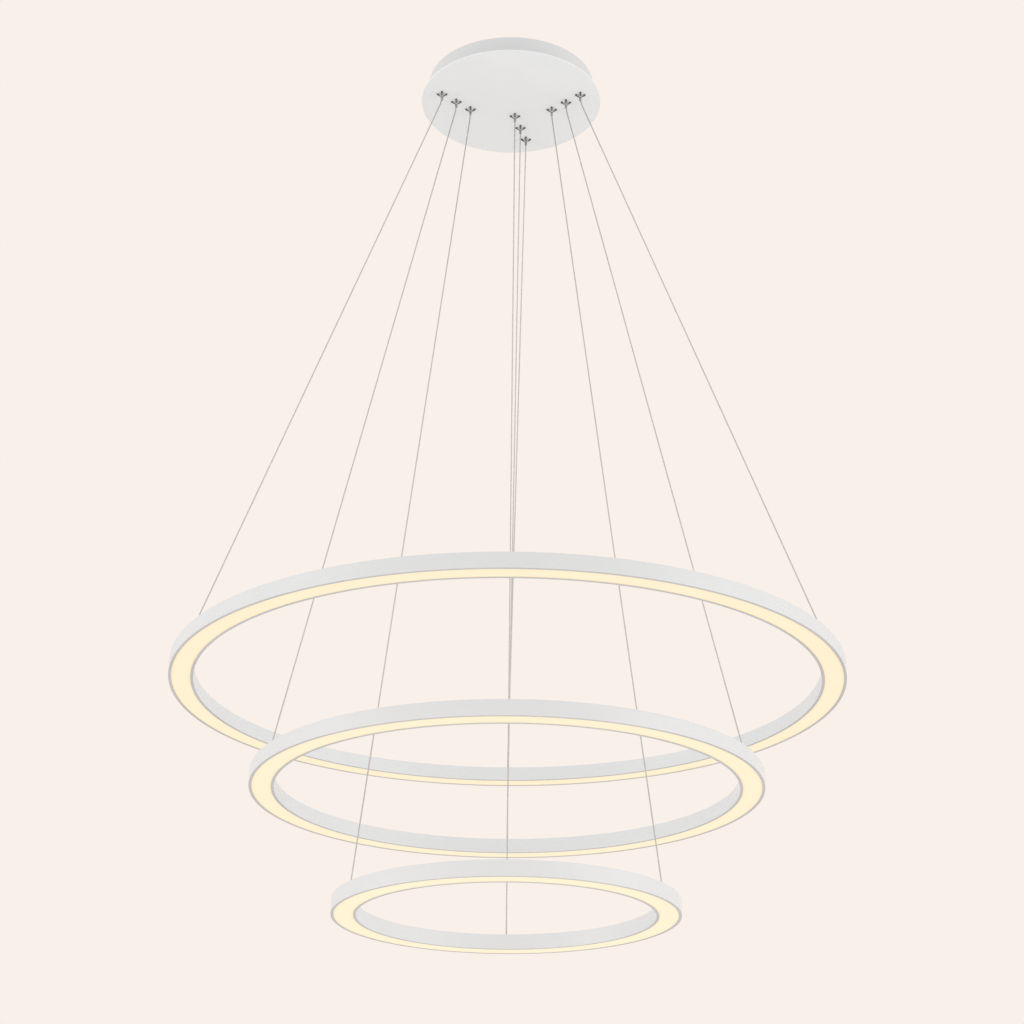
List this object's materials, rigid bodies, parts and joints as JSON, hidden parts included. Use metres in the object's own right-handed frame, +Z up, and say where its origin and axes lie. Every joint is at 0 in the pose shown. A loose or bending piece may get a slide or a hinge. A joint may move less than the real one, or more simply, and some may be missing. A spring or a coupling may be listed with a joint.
{
  "type": "ring chandelier",
  "caption": "Pendant light of concentric level light rings under a round ceiling canopy, each hung on taut wires and adjustable in height.",
  "frame": {"origin": "centre of the canopy's ceiling face, midway between the bracket's two slots", "axes": "+Z up into the ceiling, X along the bracket's slots, the single back row of wire holders towards +Y"},
  "size_m": [0.7999, 0.8, 1.13],
  "materials": {
    "white_canopy": "satin white powder coat",
    "white_frame": "satin white coated",
    "opal_diffuser": "opal, lit warm white",
    "led_board": "white solder mask with chips",
    "dark_nickel": "polished dark nickel",
    "nickel": "bright nickel",
    "spring_steel": "drawn wire",
    "suspension_wire": "clear coat over fine steel strands",
    "zinc_steel": "zinc plated",
    "driver_case": "moulded",
    "terminal_plastic": "moulded"
  },
  "bodies": {
    "canopy": {"ceiling_bracket": "zinc_steel", "side_screws": "zinc_steel", "drum": "white_canopy", "face_plate": "white_canopy", "weld_studs": "zinc_steel", "stud_nuts": "zinc_steel", "large_ring_driver": "driver_case", "medium_ring_driver": "driver_case", "small_ring_driver": "driver_case", "terminal_block": "terminal_plastic", "holder_cap_nuts": "nickel", "large_left_holder": "dark_nickel", "large_right_holder": "dark_nickel", "large_back_holder": "dark_nickel", "medium_left_holder": "dark_nickel", "medium_right_holder": "dark_nickel", "medium_back_holder": "dark_nickel", "small_left_holder": "dark_nickel", "small_right_holder": "dark_nickel", "small_back_holder": "dark_nickel", "large_left_spring": "spring_steel", "large_right_spring": "spring_steel", "large_back_spring": "spring_steel", "medium_left_spring": "spring_steel", "medium_right_spring": "spring_steel", "medium_back_spring": "spring_steel", "small_left_spring": "spring_steel", "small_right_spring": "spring_steel", "small_back_spring": "spring_steel", "large_left_wire": "suspension_wire", "large_right_wire": "suspension_wire", "large_back_wire": "suspension_wire", "medium_left_wire": "suspension_wire", "medium_right_wire": "suspension_wire", "medium_back_wire": "suspension_wire", "small_left_wire": "suspension_wire", "small_right_wire": "suspension_wire", "small_back_wire": "suspension_wire"},
    "large_ring": {"large_ring_frame": "white_frame", "large_ring_diffuser": "opal_diffuser", "large_ring_led_strip": "led_board", "large_ring_wire_anchors": "nickel"},
    "medium_ring": {"medium_ring_frame": "white_frame", "medium_ring_diffuser": "opal_diffuser", "medium_ring_led_strip": "led_board", "medium_ring_wire_anchors": "nickel"},
    "small_ring": {"small_ring_frame": "white_frame", "small_ring_diffuser": "opal_diffuser", "small_ring_led_strip": "led_board", "small_ring_wire_anchors": "nickel"},
    "large_left_plunger": {"large_left_plunger": "dark_nickel"},
    "large_right_plunger": {"large_right_plunger": "dark_nickel"},
    "large_back_plunger": {"large_back_plunger": "dark_nickel"},
    "medium_left_plunger": {"medium_left_plunger": "dark_nickel"},
    "medium_right_plunger": {"medium_right_plunger": "dark_nickel"},
    "medium_back_plunger": {"medium_back_plunger": "dark_nickel"},
    "small_left_plunger": {"small_left_plunger": "dark_nickel"},
    "small_right_plunger": {"small_right_plunger": "dark_nickel"},
    "small_back_plunger": {"small_back_plunger": "dark_nickel"}
  },
  "joints": [
    {"name": "large_ring_height", "type": "slide", "parent": "canopy", "child": "large_ring", "axis": [0, 0, 1], "range_m": [0, 0.3], "deforming": ["large_left_wire", "large_right_wire", "large_back_wire"]},
    {"name": "medium_ring_height", "type": "slide", "parent": "canopy", "child": "medium_ring", "axis": [0, 0, 1], "range_m": [0, 0.3], "deforming": ["medium_left_wire", "medium_right_wire", "medium_back_wire"]},
    {"name": "small_ring_height", "type": "slide", "parent": "canopy", "child": "small_ring", "axis": [0, 0, 1], "range_m": [0, 0.3], "deforming": ["small_left_wire", "small_right_wire", "small_back_wire"]},
    {"name": "large_left_release", "type": "slide", "parent": "canopy", "child": "large_left_plunger", "axis": [0, 0, 1], "range_m": [0, 0.0012], "stiffness_N_per_m": 500, "springref_m": -0.002, "deforming": ["large_left_spring"]},
    {"name": "large_right_release", "type": "slide", "parent": "canopy", "child": "large_right_plunger", "axis": [0, 0, 1], "range_m": [0, 0.0012], "stiffness_N_per_m": 500, "springref_m": -0.002, "deforming": ["large_right_spring"]},
    {"name": "large_back_release", "type": "slide", "parent": "canopy", "child": "large_back_plunger", "axis": [0, 0, 1], "range_m": [0, 0.0012], "stiffness_N_per_m": 500, "springref_m": -0.002, "deforming": ["large_back_spring"]},
    {"name": "medium_left_release", "type": "slide", "parent": "canopy", "child": "medium_left_plunger", "axis": [0, 0, 1], "range_m": [0, 0.0012], "stiffness_N_per_m": 500, "springref_m": -0.002, "deforming": ["medium_left_spring"]},
    {"name": "medium_right_release", "type": "slide", "parent": "canopy", "child": "medium_right_plunger", "axis": [0, 0, 1], "range_m": [0, 0.0012], "stiffness_N_per_m": 500, "springref_m": -0.002, "deforming": ["medium_right_spring"]},
    {"name": "medium_back_release", "type": "slide", "parent": "canopy", "child": "medium_back_plunger", "axis": [0, 0, 1], "range_m": [0, 0.0012], "stiffness_N_per_m": 500, "springref_m": -0.002, "deforming": ["medium_back_spring"]},
    {"name": "small_left_release", "type": "slide", "parent": "canopy", "child": "small_left_plunger", "axis": [0, 0, 1], "range_m": [0, 0.0012], "stiffness_N_per_m": 500, "springref_m": -0.002, "deforming": ["small_left_spring"]},
    {"name": "small_right_release", "type": "slide", "parent": "canopy", "child": "small_right_plunger", "axis": [0, 0, 1], "range_m": [0, 0.0012], "stiffness_N_per_m": 500, "springref_m": -0.002, "deforming": ["small_right_spring"]},
    {"name": "small_back_release", "type": "slide", "parent": "canopy", "child": "small_back_plunger", "axis": [0, 0, 1], "range_m": [0, 0.0012], "stiffness_N_per_m": 500, "springref_m": -0.002, "deforming": ["small_back_spring"]}
  ]
}
